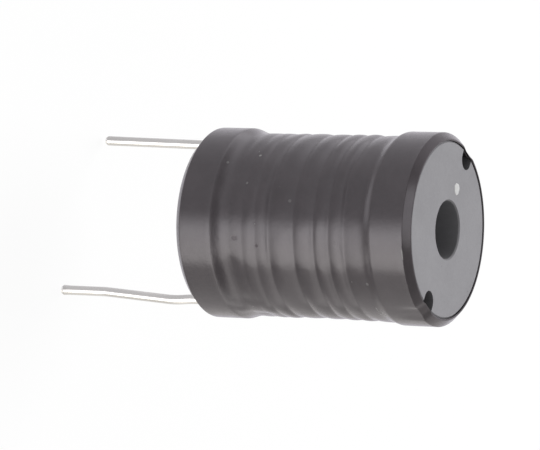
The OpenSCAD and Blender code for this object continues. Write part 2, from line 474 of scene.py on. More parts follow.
def specks(w, **values):
    """A mask of small specks."""
    return effect(w, "Specks", build_specks, **values)


def hoops(w, **values):
    """Streaks that run round the piece."""
    return effect(w, "Hoops", build_hoops, **values)


def mark_strength(w, marks):
    """The strength of each mark at its place on the sleeve, fading out over its reach."""
    place = w.split(w.here())
    turn = w.math("ARCTAN2", place["Y"], place["X"])
    strongest = 0.0
    for degrees, height, reach_round, reach_up, strength in marks:
        beside = w.math("SUBTRACT", turn, math.radians(degrees))
        above = w.math("SUBTRACT", place["Z"], height * MM)
        away = w.vector(
            w.math("MULTIPLY", beside, BODY_R / (reach_round * MM)),
            w.math("DIVIDE", above, reach_up * MM),
            0.0,
        )
        near = w.fall(w.vector_math("LENGTH", away), *MARK_FADE)
        strongest = w.math("MAXIMUM", strongest, w.math("MULTIPLY", near, strength))
    return strongest


def blend(w, mask, first, second):
    """A mix of two colours."""
    made = w.node("ShaderNodeMix", data_type="RGBA")
    w.feed(made.inputs["Factor"], mask)
    for key, value in ((6, first), (7, second)):
        if not isinstance(value, bpy.types.NodeSocket):
            value = (*value, 1.0)
        w.feed(made.inputs[key], value)
    return made.outputs[2]


def scaled_tint(tint, factor):
    """A lighter or darker shade of a tint."""
    return tuple(min(1.0, c * factor) for c in tint)


def shades(w, mask, tint, low, high):
    """A tint that goes from one shade to another as its mask goes from 0 to 1."""
    return blend(w, mask, scaled_tint(tint, low), scaled_tint(tint, high))


def dress(w, shader, base, roughness, height, depth):
    """Feeds a shader its colour, its roughness and a bump of a given depth."""
    bump = w.node("ShaderNodeBump", {"Height": height, "Distance": depth, "Strength": 1.0})
    w.feed(shader.inputs["Base Color"], base)
    w.feed(shader.inputs["Roughness"], roughness)
    w.feed(shader.inputs["Normal"], bump.outputs[0])


def sleeve_finish(tint):
    """Satin shrunk plastic with draw lines, faint clouding, small dents, dust, pale wear and a
    painted highlight on the upper rim.
    """
    material, w, shader = finish("sleeve_plastic", IOR=1.5)
    clouds = mottle(w, Scale=420.0, Detail=4.0)
    dust = specks(w, Scale=900.0, Size=0.075, Density=0.28)
    dents = specks(w, Scale=330.0, Size=0.11, Density=0.09)
    wear_and_highlight, pressed = mark_strength(w, WEAR_AND_HIGHLIGHT_MARKS), mark_strength(w, DENT_MARKS)
    gloss = mottle(w, Scale=1500.0, Detail=3.0, Low=0.2, High=0.27)
    lines = hoops(w, Turns=5.0, Rise=3800.0)
    peel = mottle(w, Scale=3600.0, Detail=2.0)
    # Dust, pale wear and a painted highlight on the upper rim lighten the plastic to one pale
    # colour
    dust_wear_and_highlight = w.math("MAXIMUM", w.math("MULTIPLY", dust, 0.6), wear_and_highlight)
    dress(
        w,
        shader,
        base=blend(w, dust_wear_and_highlight, shades(w, clouds, tint, 0.88, 1.14), PALE_AND_HIGHLIGHT),
        roughness=w.weighted((gloss, 1.0), (dust_wear_and_highlight, 0.3), (pressed, 0.4)),
        height=w.weighted(
            (lines, 0.45), (peel, 0.3), (dust, 1.2), (dents, -2.5), (pressed, -3.0)
        ),
        depth=0.008 * MM,
    )
    return material


def ferrite_finish(tint):
    """Ferrite: ground end faces with fine grain and small pits, darker fired walls."""
    material, w, shader = finish("ferrite_grey")
    clouds = mottle(w, Scale=260.0, Detail=4.0)
    grain = mottle(w, Scale=7000.0, Detail=2.0)
    pits = specks(w, Scale=1600.0, Size=0.14, Density=0.1)
    normal = w.split(w.node("ShaderNodeNewGeometry").outputs["Normal"])
    on_end = w.step(w.math("ABSOLUTE", normal["Z"]), 0.75, 0.95)
    ground = shades(w, clouds, tint, 0.92, 1.07)
    ground = blend(w, w.math("MULTIPLY", grain, 0.25), ground, scaled_tint(tint, 1.25))
    clean = blend(w, on_end, shades(w, clouds, tint, 0.71, 0.86), ground)
    dress(
        w,
        shader,
        base=blend(w, w.math("MULTIPLY", pits, 0.55), clean, scaled_tint(tint, 0.4)),
        roughness=mottle(w, Scale=2400.0, Detail=2.0, Low=0.42, High=0.52),
        height=w.weighted((grain, 0.35), (pits, -1.0)),
        depth=0.012 * MM,
    )
    return material


def tin_finish(tint):
    """Bright tin with drawing lines along the wire and duller patches."""
    material, w, shader = finish("tin_bright", Metallic=1.0)
    dull = mottle(w, Scale=700.0, Stretch=(1.0, 1.0, 0.35), Detail=3.0)
    lines = mottle(w, Scale=9000.0, Stretch=(1.0, 1.0, 0.03), Detail=2.0)
    dress(
        w,
        shader,
        base=shades(w, dull, tint, 1.0, 0.9),
        roughness=mottle(w, Scale=1100.0, Stretch=(1.0, 1.0, 0.3), Low=0.22, High=0.25),
        height=w.weighted((lines, 0.5), (dull, 0.5)),
        depth=0.0001 * MM,
    )
    return material


def solder_finish():
    """Satin solder with a slightly grainy skin."""
    material, w, shader = finish("solder_satin", Metallic=1.0)
    grain = mottle(w, Scale=3500.0, Detail=3.0)
    dress(
        w,
        shader,
        base=blend(w, grain, (0.5, 0.5, 0.51), (0.66, 0.66, 0.66)),
        roughness=mottle(w, Scale=1800.0, Low=0.28, High=0.45),
        height=grain,
        depth=0.012 * MM,
    )
    return material


def enamel_finish():
    """Copper wire under clear enamel, with turns that differ a little."""
    material, w, shader = finish(
        "enamelled_copper", Metallic=0.85, Coat_Weight=0.6, Coat_Roughness=0.12
    )
    turns = hoops(w, Turns=0.8, Rise=2800.0)
    stain = mottle(w, Scale=500.0, Detail=3.0)
    copper = blend(w, turns, (0.30, 0.09, 0.03), (0.5, 0.19, 0.07))
    dress(
        w,
        shader,
        base=blend(w, w.math("MULTIPLY", stain, 0.4), copper, (0.22, 0.07, 0.025)),
        roughness=mottle(w, Scale=1600.0, Low=0.25, High=0.4),
        height=turns,
        depth=0.01 * MM,
    )
    return material


def ink_finish(tint):
    """Flat white marking ink, a little thin in places."""
    material, w, shader = finish("marking_ink")
    thin = mottle(w, Scale=3200.0, Detail=3.0)
    dress(
        w,
        shader,
        base=shades(w, thin, tint, 1.0, 0.9),
        roughness=mottle(w, Scale=2600.0, Low=0.5, High=0.65),
        height=thin,
        depth=0.008 * MM,
    )
    return material


# Sleeve

# Valleys between the banks of turns: share of the winding's length, share of the ridge height
BANK_EDGES = (
    (0, 0.2), (0.11, 0.25), (0.19, 0.3), (0.27, 0.45), (0.355, 1),
    (0.51, 1), (0.635, 1), (0.725, 1), (0.82, 1), (1, 1),
)
# Power that shapes the top of a bank: a lower one makes it flatter
BANK_POWER = 0.6
# Height over which the ridges grow from the lower flange up
LOW_REACH = 4 * MM
# Power that makes the lower slope start sharply and end softly
SLOPE_POWER = 0.75

# Longest steps up the section: on plain stretches, on the inside, and where a slope starts
PLAIN_STEP, INNER_STEP, SLOPE_STEP = 0.4 * MM, 0.3 * MM, 0.1 * MM
# Points up each bank, and along each rounded corner
BANK_STEPS, ARC_STEPS = 14, 5
# Samples on each side that round a valley
SMOOTHING = 9
# Rounding of a lip's edge, as a share of its thickness
LIP_ROUND = 0.45
# Set-back along a rim's chamfer when its two sides move out by 1
CHAMFER_SET = 1.4
# A lip is looked for down to this many bevels from its end
LIP_DEPTH = 1.5

# How much of a ridge's height strays on its way round
RIDGE_STRAY = 0.7
# The swell over a lead's root: its fall to each side, its rise from the flange, its end
SWELL_FALL, SWELL_RISE, SWELL_END = (0.2 * MM, 1.5 * MM), 0.8 * MM, 1 * MM
# The hollow: half its width in degrees, outside and inside its soft edge, and its lower and
# upper edges
HOLLOW_WIDTH, HOLLOW_LOW, HOLLOW_HIGH = (30, 8), (3.15 * MM, 4.6 * MM), (4.7 * MM, 6.4 * MM)
# Soft edge of a dent at a notch, in shares of the notch's width
NOTCH_FADE = (0.22, 0.7)
# Soft edge of the gap for a lead in the lower lip, in shares of the wire's width, and how far
# up the gap goes. It clears the wire by a little
LEAD_FADE, LEAD_GAP_H, LEAD_CLEAR = (0.54, 0.8), (0.6 * MM, 1.2 * MM), 0.05 * MM


def ease(t):
    """0 to 1 along a soft step."""
    c = min(1.0, max(0.0, t))
    return c * c * (3 - 2 * c)


def bank_swell(z, low, high):
    """Swell of the winding's bank at height z: 1 in its middle, less in the valleys."""
    share_z = (z - low) / (high - low)
    for (a, a_depth), (b, b_depth) in zip(BANK_EDGES, BANK_EDGES[1:]):
        if a <= share_z <= b:
            t = (share_z - a) / (b - a)
            depth = (1 - t) * a_depth + t * b_depth
            return 1 - depth * (1 - max(0.0, math.sin(math.pi * t)) ** BANK_POWER)
    return 1.0


def bank_heights(low, high, n):
    """Heights up the banks, n to a bank and closest at the valleys."""
    edges = [low + share_z * (high - low) for share_z, depth in BANK_EDGES]
    return [
        a + (b - a) * (1 - math.cos(math.pi * k / n)) / 2
        for a, b in zip(edges, edges[1:])
        for k in range(n)
    ]


def spaced(a, b, gap):
    """Values from a to b, b left out, no further apart than gap."""
    n = max(1, math.ceil(abs(b - a) / gap))
    return [a + (b - a) * k / n for k in range(n)]


def arc(centre, r, start, end, n):
    """Points on a circular arc, its end left out, angles in degrees."""
    turns = [math.radians(start + (end - start) * k / n) for k in range(n)]
    return [(centre[0] + r * math.cos(t), centre[1] + r * math.sin(t)) for t in turns]


def sleeve_section(s):
    """The sleeve's wall in section: up the outside, over the upper lip and down the inside."""
    low, high = SLEEVE_LOW.z, SLEEVE_HIGH.z
    lip_r = BODY_R - s.lip_reach
    inner_r = BODY_R - s.wall
    waist_low, waist_high = CORE_LOW.z + s.flange_t, CORE_HIGH.z - s.flange_t
    slope_low = waist_low - s.slope_lead
    # The lips' undersides lie this far in from the ends, on the chamfered rims
    under = lip_r - (CORE_HIGH.x - s.chamfer) - CHAMFER_SET * (inner_r - CORE_HIGH.x)
    round_r = LIP_ROUND * (under + CORE_LOW.z - low)
    # Where the bevel at a rim starts, with its corners rounded
    start = s.turn + s.turn_r * math.tan(math.radians(22.5))

    def waist(z):
        """0 on the flange bands, 1 along the waist."""
        low_slope = max(0.0, (z - slope_low) / s.slope) ** SLOPE_POWER
        return ease(low_slope) * ease((waist_high - z) / s.high_slope)

    def ridge(z):
        """Height of the ridge at a height, with its valleys rounded."""
        banks = weights = 0.0
        for k in range(1 - SMOOTHING, SMOOTHING):
            weight = 1 + math.cos(math.pi * k / SMOOTHING)
            banks += weight * bank_swell(z + s.valley * k / SMOOTHING, waist_low, waist_high)
            weights += weight
        grown = s.low_share + (1 - s.low_share) * ease((z - waist_low) / LOW_REACH)
        return waist(z) * grown * s.ridge_h * banks / weights

    def wall_r(z):
        return BODY_R - waist(z) * s.waist_dip + ridge(z)

    def lip(r, depth):
        """0 on the wall, 1 at a lip's edge."""
        if depth >= LIP_DEPTH * s.turn:
            return 0.0
        return ease((BODY_R - s.turn - r) / (s.lip_reach - s.turn))

    rises = (
        spaced(low + start, slope_low, PLAIN_STEP)
        + spaced(slope_low, waist_low, SLOPE_STEP)
        + bank_heights(waist_low, waist_high, BANK_STEPS)
        + spaced(waist_high, high - start, PLAIN_STEP)
    )
    inner_rises = spaced(CORE_HIGH.z - s.chamfer, CORE_LOW.z + s.chamfer, INNER_STEP)
    rim = inner_r - lip_r
    along_rim = spaced(0, rim, SLOPE_STEP)
    points = (
        [(lip_r, CORE_LOW.z + under)]
        + arc((lip_r + round_r, low + round_r), round_r, 180, 270, ARC_STEPS)
        + arc((BODY_R - start, low + s.turn_r), s.turn_r, -90, -45, ARC_STEPS)
        + arc((BODY_R - s.turn_r, low + start), s.turn_r, -45, 0, ARC_STEPS)
        + [(wall_r(z), z) for z in rises]
        + arc((BODY_R - s.turn_r, high - start), s.turn_r, 0, 45, ARC_STEPS)
        + arc((BODY_R - start, high - s.turn_r), s.turn_r, 45, 90, ARC_STEPS)
        + arc((lip_r + round_r, high - round_r), round_r, 90, 180, ARC_STEPS)
        + [(lip_r, high - round_r)]
        + [(lip_r + k, CORE_HIGH.z - under - k) for k in along_rim]
        + [(wall_r(z) - s.wall, z) for z in inner_rises]
        + [(inner_r - k, CORE_LOW.z + under + rim - k) for k in along_rim]
    )
    points.append(points[0])
    values = {
        "waist": [waist(z) for r, z in points],
        "ridge": [ridge(z) for r, z in points],
        "low_lip": [lip(r, z - low) for r, z in points],
        "high_lip": [lip(r, high - z) for r, z in points],
    }
    return chain_mesh("sleeve_section", [(r, 0, z) for r, z in points], values)


class SleeveWiring(Wiring):
    """Wiring of the sleeve's tree: a grid that takes up the section, turned round the Z axis,
    and a method for each form that the shrinking gives it."""

    def __init__(self, tree):
        super().__init__(tree)
        self.given = self.node("NodeGroupInput").outputs
        self.section = self.given["Section"]
        size = self.node("GeometryNodeAttributeDomainSize", {0: self.section})
        count = size.outputs["Point Count"]
        self.grid = self.node(
            "GeometryNodeMeshGrid",
            {
                "Size X": 1.0,
                "Size Y": 1.0,
                "Vertices X": self.math("ADD", self.given["Steps"], 1),
                "Vertices Y": count,
            },
        ).outputs["Mesh"]
        place = self.split(self.position())
        self.turn = self.math("MULTIPLY", self.math("ADD", place["X"], 0.5), math.tau)
        last = self.math("SUBTRACT", count, 1)
        self.row = self.math("ROUND", self.product(self.math("ADD", place["Y"], 0.5), last))
        point = self.split(self.on_section(self.position(), "FLOAT_VECTOR"))
        self.r, self.z = point["X"], point["Z"]
        self.waist, self.ridge = self.named("waist"), self.named("ridge")
        self.low_lip, self.high_lip = self.named("low_lip"), self.named("high_lip")
        self.cos, self.sin = self.math("COSINE", self.turn), self.math("SINE", self.turn)

    def on_section(self, value, data_type):
        """A value from the section's point that a row of the grid stands for."""
        return self.node(
            "GeometryNodeSampleIndex",
            {"Geometry": self.section, "Value": value, "Index": self.row},
            data_type=data_type,
        ).outputs[0]

    def named(self, label):
        """A named value of the section."""
        attribute = self.node("GeometryNodeInputNamedAttribute", {"Name": label}, data_type="FLOAT")
        return self.on_section(attribute.outputs["Attribute"], "FLOAT")

    def ripple(self, turns, rise, seed, detail=1.0):
        """Noise from -1 to 1: turns sets how often it changes round the sleeve, rise per metre."""
        along = self.vector(
            self.math("MULTIPLY", self.cos, turns),
            self.math("MULTIPLY", self.sin, turns),
            self.math("MULTIPLY_ADD", self.z, rise, seed),
        )
        return self.math("MULTIPLY_ADD", self.noise(along, 1.0, detail), 2.0, -1.0)

    def toward(self, line):
        """Cosine of the angle from a direction."""
        return self.math("COSINE", self.math("SUBTRACT", self.turn, line))

    def beside(self, line):
        """Distance round the sleeve from a line through its axis."""
        across = self.math("SINE", self.math("SUBTRACT", self.turn, line))
        return self.product(self.math("ABSOLUTE", across), self.given["Body Radius"])

    def shrunk_waist(self):
        """Ridges that stray and differ in height, on a wall that sags and dimples a little."""
        stray = self.ripple(turns=1.1, rise=130.0, seed=3.1)
        z = self.math("ADD", self.z, self.product(self.waist, self.given["Wander"], stray))
        lean = self.product(self.given["Lean"], self.toward(self.given["Lean Angle"]))
        sag = self.ripple(turns=1.4, rise=180.0, seed=7.7)
        dimples = self.ripple(turns=4.5, rise=900.0, seed=17.9, detail=2.0)
        bumps = self.total(
            self.product(self.given["Sag"], sag),
            self.product(self.given["Crease"], dimples),
            self.math("MULTIPLY", lean, -1.0),
        )
        uneven = self.ripple(turns=1.7, rise=420.0, seed=11.3)
        ridge = self.product(self.ridge, RIDGE_STRAY, uneven)
        return self.total(self.r, self.product(self.waist, bumps), ridge), z

    def swell_over_leads(self, r):
        """The swell over each lead's root."""
        flange, end = self.given["Flange Low"], self.given["Root End"]
        over_lead = self.product(
            self.fall(self.beside(0.0), *SWELL_FALL),
            self.step(self.z, flange, self.math("ADD", flange, SWELL_RISE)),
            self.fall(
                self.z, self.math("SUBTRACT", end, SWELL_END), self.math("ADD", end, SWELL_END)
            ),
        )
        return self.math("ADD", r, self.product(over_lead, self.given["Lead Swell"]))

    def hollow_beside_lead(self, r):
        """The hollow beside the bent lead's root."""
        width = (math.cos(math.radians(degrees)) for degrees in HOLLOW_WIDTH)
        hollow = self.product(
            self.step(self.toward(self.given["Hollow Angle"]), *width),
            self.step(self.z, *HOLLOW_LOW),
            self.fall(self.z, *HOLLOW_HIGH),
        )
        return self.math("SUBTRACT", r, self.product(hollow, self.given["Hollow"]))

    def uneven_lips(self, r, z):
        """Wavy lips. The upper one is drawn back and sunk at the notches, and its rim dented."""
        given = self.given
        fade = (self.math("MULTIPLY", given["Notch Width"], part) for part in NOTCH_FADE)
        at_notch = self.fall(self.beside(given["Notch Turn"]), *fade)
        stray = self.ripple(turns=1.6, rise=120.0, seed=23.3, detail=2.0)
        stray = self.math("MULTIPLY_ADD", stray, 0.5, 0.5)
        wave = self.product(
            self.math("ADD", self.low_lip, self.high_lip), given["Lip Wave"], stray
        )
        drawn = self.product(self.high_lip, at_notch, given["Notch Draw"])
        on_rim = self.step(self.z, given["Flange High"], given["High End"])
        dented = self.product(at_notch, on_rim, given["Notch Dent"])
        sunk = self.product(self.high_lip, at_notch, given["Notch Sink"])
        r = self.math("SUBTRACT", self.total(r, wave, drawn), dented)
        return r, self.math("SUBTRACT", z, sunk)

    def gaps_for_leads(self, r):
        """The gap in the lower lip round each lead."""
        given = self.given
        fade = (self.math("MULTIPLY", given["Lead Width"], part) for part in LEAD_FADE)
        at_lead = self.product(
            self.fall(self.beside(0.0), *fade), self.fall(self.z, *LEAD_GAP_H)
        )
        reach = self.math("SUBTRACT", given["Lead Outside"], given["Lip Radius"])
        clear_r = self.math("MULTIPLY_ADD", at_lead, reach, given["Lip Radius"])
        in_gap = self.math("GREATER_THAN", at_lead, 0.0)
        return self.math("MAXIMUM", r, self.product(clear_r, in_gap))

    def kept_in_bevels(self, r, z):
        """Heights that keep everything inside the bevels at the rims."""
        given = self.given
        past = self.math("SUBTRACT", r, self.math("SUBTRACT", given["Body Radius"], given["Turn"]))
        past = self.math("MAXIMUM", past, 0.0)
        z = self.math("MAXIMUM", z, self.math("ADD", given["Low End"], past))
        return self.math("MINIMUM", z, self.math("SUBTRACT", given["High End"], past))


def sleeve_tree():
    """Turns the section round the Z axis and shrinks it unevenly."""
    distances = (
        "Body Radius", "Lip Radius", "Turn", "Low End", "High End", "Flange Low", "Flange High",
        "Wander", "Sag", "Lean", "Crease", "Lip Wave", "Lead Swell", "Lead Outside", "Lead Width",
        "Root End", "Hollow", "Notch Width", "Notch Sink", "Notch Draw", "Notch Dent",
    )
    angles = ("Lean Angle", "Hollow Angle", "Notch Turn")
    tree = new_tree(
        "Shrunk Sleeve",
        "GeometryNodeTree",
        [("Section", "NodeSocketGeometry", None), ("Steps", "NodeSocketInt", 96)]
        + [(label, "NodeSocketFloat", 0.0) for label in distances + angles]
        + [("Material", "NodeSocketMaterial", None)],
        [("Geometry", "NodeSocketGeometry", None)],
    )
    w = SleeveWiring(tree)
    r, z = w.shrunk_waist()
    r = w.swell_over_leads(r)
    r = w.hollow_beside_lead(r)
    r, z = w.uneven_lips(r, z)
    r = w.gaps_for_leads(r)
    z = w.kept_in_bevels(r, z)
    place = w.vector(w.product(r, w.cos), w.product(r, w.sin), z)
    shaped = w.node("GeometryNodeSetPosition", {"Geometry": w.grid, "Position": place})
    closed = w.node(
        "GeometryNodeMergeByDistance", {"Geometry": shaped.outputs[0], "Distance": WELD}
    )
    end_tree(w, closed.outputs[0], w.given["Material"])
    return tree


def end_tree(w, geometry, material):
    """Ends a geometry tree: instances made real, faces smooth, and the material set."""
    real = w.node("GeometryNodeRealizeInstances", {"Geometry": geometry}).outputs[0]
    smooth = w.node("GeometryNodeSetShadeSmooth", {"Geometry": real}).outputs[0]
    coated = w.node("GeometryNodeSetMaterial", {"Geometry": smooth, "Material": material})
    w.node("NodeGroupOutput", {"Geometry": coated.outputs[0]})


class INDUCTOR_OT_sleeve(bpy.types.Operator):
    """Makes the shrunk sleeve with its uneven ridges and lips"""

    bl_idname = "inductor.sleeve"
    bl_label = "Sleeve"

    def execute(self, context):
        s = context.scene.inductor_sleeve
        leads = context.scene.inductor_leads
        piece = add_piece("sleeve_skin", sleeve_section(s))
        run_tree(piece, sleeve_tree(), {
            "Steps": s.steps,
            "Body Radius": BODY_R,
            "Lip Radius": BODY_R - s.lip_reach,
            "Turn": s.turn,
            "Low End": SLEEVE_LOW.z,
            "High End": SLEEVE_HIGH.z,
            "Flange Low": CORE_LOW.z + s.flange_t,
            "Flange High": CORE_HIGH.z - s.flange_t,
            "Wander": s.wander,
            "Sag": s.sag,
            "Lean": s.lean,
            "Lean Angle": s.lean_angle,
            "Crease": s.crease,
            "Lip Wave": s.lip_wave,
            "Lead Swell": s.lead_swell,
            "Lead Outside": BODY_R - leads.inset + LEAD_CLEAR,
            "Lead Width": leads.wire_d,
            "Root End": s.root_end,
            "Hollow": s.hollow,
            "Hollow Angle": s.hollow_angle,
            "Notch Turn": s.notch_turn,
            "Notch Width": s.notch_w,
            "Notch Sink": s.notch_sink,
            "Notch Draw": s.notch_draw,
            "Notch Dent": s.notch_dent,
            "Material": sleeve_finish(tuple(s.tint)),
        })
        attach(piece, "root")
        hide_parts("sleeve")
        return {"FINISHED"}


# Core

# Faces within this angle of each other are one flat face
FLAT_ANGLE = math.radians(0.5)
# Corners sharper than the first are rounded, and those sharper than the second stay crisp
ROUND_ANGLE, CRISP_ANGLE = math.radians(32), math.radians(18)
# Upward part of an end face's direction
END_Z = 0.999
# The dot's rings, from its foot up: share of its radius, height in millimetres
DOT_RINGS = ((1.0, -0.004), (1.0, 0.006), (0.9, 0.016), (0.5, 0.019))
DOT_SIDES = 40
# Waves that make its edge ragged: share of its radius, waves round it, start
DOT_WAVES = ((0.05, 3, 0.7), (0.03, 7, 0))


def edit_mesh(mesh, change):
    """Puts a mesh through a change in bmesh."""
    bm = bmesh.new()
    bm.from_mesh(mesh)
    change(bm)
    bm.to_mesh(mesh)
    bm.free()


def join_flats(bm):
    """Joins loose triangles into whole faces."""
    bmesh.ops.remove_doubles(bm, verts=bm.verts, dist=WELD)
    bmesh.ops.dissolve_limit(bm, angle_limit=FLAT_ANGLE, verts=bm.verts, edges=bm.edges)


def drop_slivers(bm):
    """Cuts faces of many corners into triangles, with no face that has no area."""
    bmesh.ops.dissolve_degenerate(bm, dist=SLIVER, edges=bm.edges)
    bmesh.ops.triangulate(bm, faces=[face for face in bm.faces if len(face.verts) > 4])
    bmesh.ops.dissolve_degenerate(bm, dist=SLIVER, edges=bm.edges)


def crisp_ends(mesh):
    """Keeps the end faces flat in the light up to their edges."""
    mesh.set_sharp_from_angle(angle=CRISP_ANGLE)
    for face in mesh.polygons:
        if abs(face.normal.z) > END_Z:
            for corner in face.loop_indices:
                mesh.edges[mesh.loops[corner].edge_index].use_edge_sharp = True


class INDUCTOR_OT_core(bpy.types.Operator):
    """Makes the ferrite core with softened edges"""

    bl_idname = "inductor.core"
    bl_label = "Core"

    def execute(self, context):
        s = context.scene.inductor_core
        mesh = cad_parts["ferrite_core"].data.copy()
        edit_mesh(mesh, join_flats)
        mesh.materials.clear()
        mesh.materials.append(ferrite_finish(tuple(s.tint)))
        piece = add_piece("core_body", mesh)
        bevel = piece.modifiers.new("edges", "BEVEL")
        bevel.width = s.edge_r
        bevel.segments = 2
        bevel.limit_method = "ANGLE"
        bevel.angle_limit = ROUND_ANGLE
        settle(piece)
        edit_mesh(piece.data, drop_slivers)
        crisp_ends(piece.data)
        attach(piece, "root")
        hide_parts("ferrite_core")
        return {"FINISHED"}


def ink_drop(bm, centre, radius):
    """A thin drop with a ragged edge, built ring by ring from its foot."""
    rings = []
    for scale, rise in DOT_RINGS:
        ring = []
        for k in range(DOT_SIDES):
            t = math.tau * k / DOT_SIDES
            ragged = 1 + sum(size * math.sin(n * t + start) for size, n, start in DOT_WAVES)
            r = radius * scale * ragged
            offset = Vector((r * math.cos(t), r * math.sin(t), rise * MM))
            ring.append(bm.verts.new(centre + offset))
        rings.append(ring)
    for lower, upper in zip(rings, rings[1:]):
        for k in range(DOT_SIDES):
            n = (k + 1) % DOT_SIDES
            bm.faces.new((lower[k], lower[n], upper[n], upper[k]))
    bm.faces.new(rings[-1])
    bm.faces.new(reversed(rings[0]))
    for face in bm.faces:
        face.smooth = True


class INDUCTOR_OT_dot(bpy.types.Operator):
    """Makes the white dot of ink on the upper end face"""

    bl_idname = "inductor.dot"
    bl_label = "Dot"

    def execute(self, context):
        s = context.scene.inductor_core
        centre = Vector((s.dot_x, s.dot_y, CORE_HIGH.z))
        mesh = bpy.data.meshes.new("ink_dot")
        edit_mesh(mesh, lambda bm: ink_drop(bm, centre, s.dot_d / 2))
        mesh.materials.append(ink_finish(tuple(s.ink)))
        piece = add_piece("ink_dot", mesh)
        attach(piece, "root")
        return {"FINISHED"}


# Leads

# Points along a straight, degrees of a bend to each point, and fewest points in a bend
STRAIGHT_STEPS, BEND_STEP, BEND_STEPS = 8, 1.5, 4
# Length of the last leg, part of it over which the cut end narrows, and the share of the
# wire's width that is left there
TIP_L, TIP_EDGE, TIP_SHARE = 0.24 * MM, 0.2 * MM, 0.69
# How much more a pinched end narrows than it spreads, and the straight lead's share of the pinch
PINCH_NARROW, STRAIGHT_PINCH = 1.2, 0.35
# Edges of a wire sharper than this stay crisp
WIRE_ANGLE = math.radians(40)


def wire_route(legs):
    """Points along a wire that starts up +Z and bends in the XZ plane.

    Each leg is a straight length, then the angle and radius of the bend that follows.
    """
    x = z = heading = 0.0
    points = [(x, z)]
    for straight, turn, r in legs:
        for k in range(1, STRAIGHT_STEPS + 1):
            gone = straight * k / STRAIGHT_STEPS
            points.append((x + gone * math.sin(heading), z + gone * math.cos(heading)))
        x, z = points[-1]
        if turn:
            side = math.copysign(1, turn)
            cx, cz = x + side * r * math.cos(heading), z - side * r * math.sin(heading)
            n = max(BEND_STEPS, math.ceil(abs(math.degrees(turn)) / BEND_STEP))
            for k in range(1, n + 1):
                t = heading + turn * k / n
                points.append((cx - side * r * math.cos(t), cz + side * r * math.sin(t)))
            heading += turn
            x, z = points[-1]
    return points


def root_route(s):
    """A lead's way up into the sleeve: a set-off inwards, then straight to its top."""
    sweep = 2 * s.root_bend_r
    bend = math.acos((sweep - s.root_step) / math.hypot(sweep, s.set_l))
    bend -= math.atan2(s.set_l, sweep)
    root_z = s.set_l * math.cos(bend) + sweep * math.sin(bend) + SLEEVE_LOW.z
    return wire_route([
        (s.set_l, bend, s.root_bend_r),
        (s.set_l, -bend, s.root_bend_r),
        (START_HIGH.z - root_z, 0, 0),
    ])


def straight_route(s):
    """The straight lead's way down from the sleeve, with its slight tilt."""
    down = SLEEVE_LOW.z - START_LOW.z - s.set_l - s.bend_r * math.sin(s.start_tilt)
    return wire_route([
        (s.set_l, -s.start_tilt, s.bend_r),
        (down / math.cos(s.start_tilt) - TIP_L, 0, 0),
        (TIP_L, 0, 0),
    ])


def bent_route(s):
    """The bent lead's way down from the sleeve: out, in and straight down."""
    end_z = (
        s.set_l * (1 + math.cos(s.exit_tilt))
        + 2 * s.bend_r * (math.sin(s.exit_tilt) + math.sin(s.mid_lean))
        + s.mid_l * math.cos(s.mid_lean)
    )
    return wire_route([
        (s.set_l, -s.exit_tilt, s.bend_r),
        (s.set_l, s.exit_tilt + s.mid_lean, s.bend_r),
        (s.mid_l, -s.mid_lean, s.bend_r),
        (SLEEVE_LOW.z - FINISH_LOW.z - end_z - TIP_L, 0, 0),
        (TIP_L, 0, 0),
    ])


def pinch_offset(w, given):
    """How far the points near the tip move: out along the pinch's angle, and in across it."""
    place = w.split(w.position())
    tip_z = given["Tip Height"]
    near = w.fall(place["Z"], tip_z, w.math("ADD", tip_z, given["Pinch Length"]))
    squeeze = w.product(near, given["Pinch"])
    cos, sin = w.math("COSINE", given["Pinch Angle"]), w.math("SINE", given["Pinch Angle"])
    dx, dy = w.math("SUBTRACT", place["X"], given["Tip X"]), place["Y"]
    along = w.total(w.product(dx, cos), w.product(dy, sin))
    across = w.math("SUBTRACT", w.product(dy, cos), w.product(dx, sin))
    spread = w.product(along, squeeze)
    narrow = w.product(across, squeeze, -PINCH_NARROW)
    return w.vector(
        w.math("SUBTRACT", w.product(spread, cos), w.product(narrow, sin)),
        w.total(w.product(spread, sin), w.product(narrow, cos)),
        0.0,
    )


def lead_tree():
    """Draws the wire along its route, and narrows and pinches the cut end."""
    sizes = (
        "Wire Diameter", "Tip Height", "Tip X", "Edge", "Pinch", "Pinch Length", "Pinch Angle",
    )
    tree = new_tree(
        "Lead Wire",
        "GeometryNodeTree",
        [("Route", "NodeSocketGeometry", None), ("Sides", "NodeSocketInt", 24)]
        + [(label, "NodeSocketFloat", 0.0) for label in sizes]
        + [("Material", "NodeSocketMaterial", None)],
        [("Geometry", "NodeSocketGeometry", None)],
    )
    w = Wiring(tree)
    given = w.node("NodeGroupInput").outputs
    route = w.node("GeometryNodeMeshToCurve", {0: given["Route"]})
    above = w.math("SUBTRACT", w.split(w.position())["Z"], given["Tip Height"])
    above = w.math("DIVIDE", above, given["Edge"])
    scale = w.math("MULTIPLY_ADD", above, 1 - TIP_SHARE, TIP_SHARE)
    ring = w.node(
        "GeometryNodeCurvePrimitiveCircle",
        {"Resolution": given["Sides"], "Radius": w.product(given["Wire Diameter"], 0.5)},
    )
    tube = w.node(
        "GeometryNodeCurveToMesh",
        {
            "Curve": route.outputs[0],
            "Profile Curve": ring.outputs[0],
            "Scale": w.math("MINIMUM", scale, 1.0),
            "Fill Caps": True,
        },
    )
    cut = w.node(
        "GeometryNodeSetPosition", {"Geometry": tube.outputs[0], "Offset": pinch_offset(w, given)}
    )
    end_tree(w, cut.outputs[0], given["Material"])
    return tree


